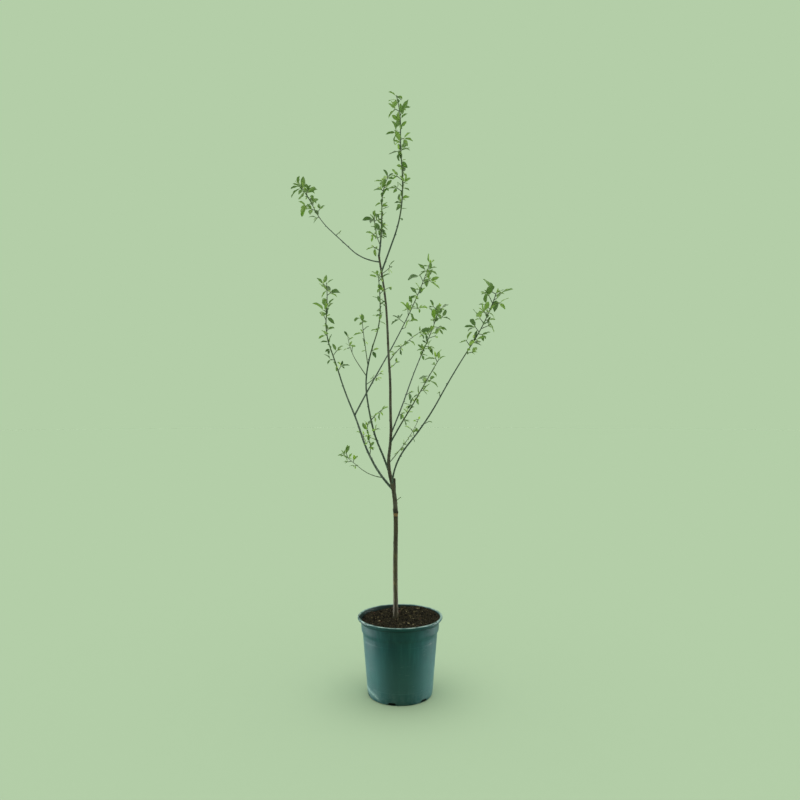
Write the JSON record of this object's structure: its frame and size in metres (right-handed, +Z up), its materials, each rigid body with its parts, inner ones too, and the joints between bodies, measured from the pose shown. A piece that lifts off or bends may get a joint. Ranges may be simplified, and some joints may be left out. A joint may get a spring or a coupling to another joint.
{
  "type": "potted plum tree",
  "caption": "Young grafted plum tree with a slender trunk, upswept boughs and sprays of small leaves, rooted in compost in a round green nursery pot that stands by itself.",
  "frame": {"origin": "middle of the flat underside of the pot, on the surface that it stands on", "axes": "+Z up along the trunk, +X to the right and +Y to the back as seen in the picture"},
  "size_m": [0.5359, 0.3975, 1.4915],
  "materials": {
    "pot_plastic": "matte dark teal green, slightly scuffed",
    "compost": "loose dark brown compost with chips",
    "bark": "smooth young bark with pale pores",
    "foliage": "soft matte green leaves on thin grey-green twigs"
  },
  "bodies": {
    "root": {"pot": "pot_plastic", "soil": "compost", "trunk": "bark", "bough_low_left": "bark", "bough_low_inner": "bark", "bough_second_left": "bark", "bough_long_right": "bark", "bough_middle_right": "bark", "bough_short_right": "bark", "bough_upper_left": "bark", "bough_leader": "bark", "bough_centre": "bark", "foliage_low_left": "foliage", "foliage_low_inner": "foliage", "foliage_second_left": "foliage", "foliage_long_right": "foliage", "foliage_middle_right": "foliage", "foliage_short_right": "foliage", "foliage_upper_left": "foliage", "foliage_leader": "foliage", "foliage_centre": "foliage", "foliage_centre_left": "foliage", "foliage_foot_left": "foliage", "foliage_low_upright": "foliage", "foliage_inner_left": "foliage", "foliage_outer_left": "foliage", "foliage_upright_left": "foliage", "foliage_cross": "foliage", "foliage_fine_right": "foliage", "foliage_behind": "foliage", "foliage_trunk_right": "foliage", "foliage_trunk_high_right": "foliage", "foliage_trunk_top_right": "foliage", "foliage_trunk_low_right": "foliage", "foliage_trunk_left": "foliage", "foliage_trunk_high_left": "foliage", "foliage_trunk_top_left": "foliage", "foliage_spur_centre": "foliage", "foliage_spur_upper_left": "foliage", "foliage_spur_low_left": "foliage", "foliage_spur_second_left": "foliage", "foliage_spur_long_right_low": "foliage", "foliage_spur_long_right": "foliage", "foliage_spur_long_right_high": "foliage", "foliage_spur_middle_right_low": "foliage", "foliage_spur_middle_right": "foliage"}
  },
  "joints": []
}
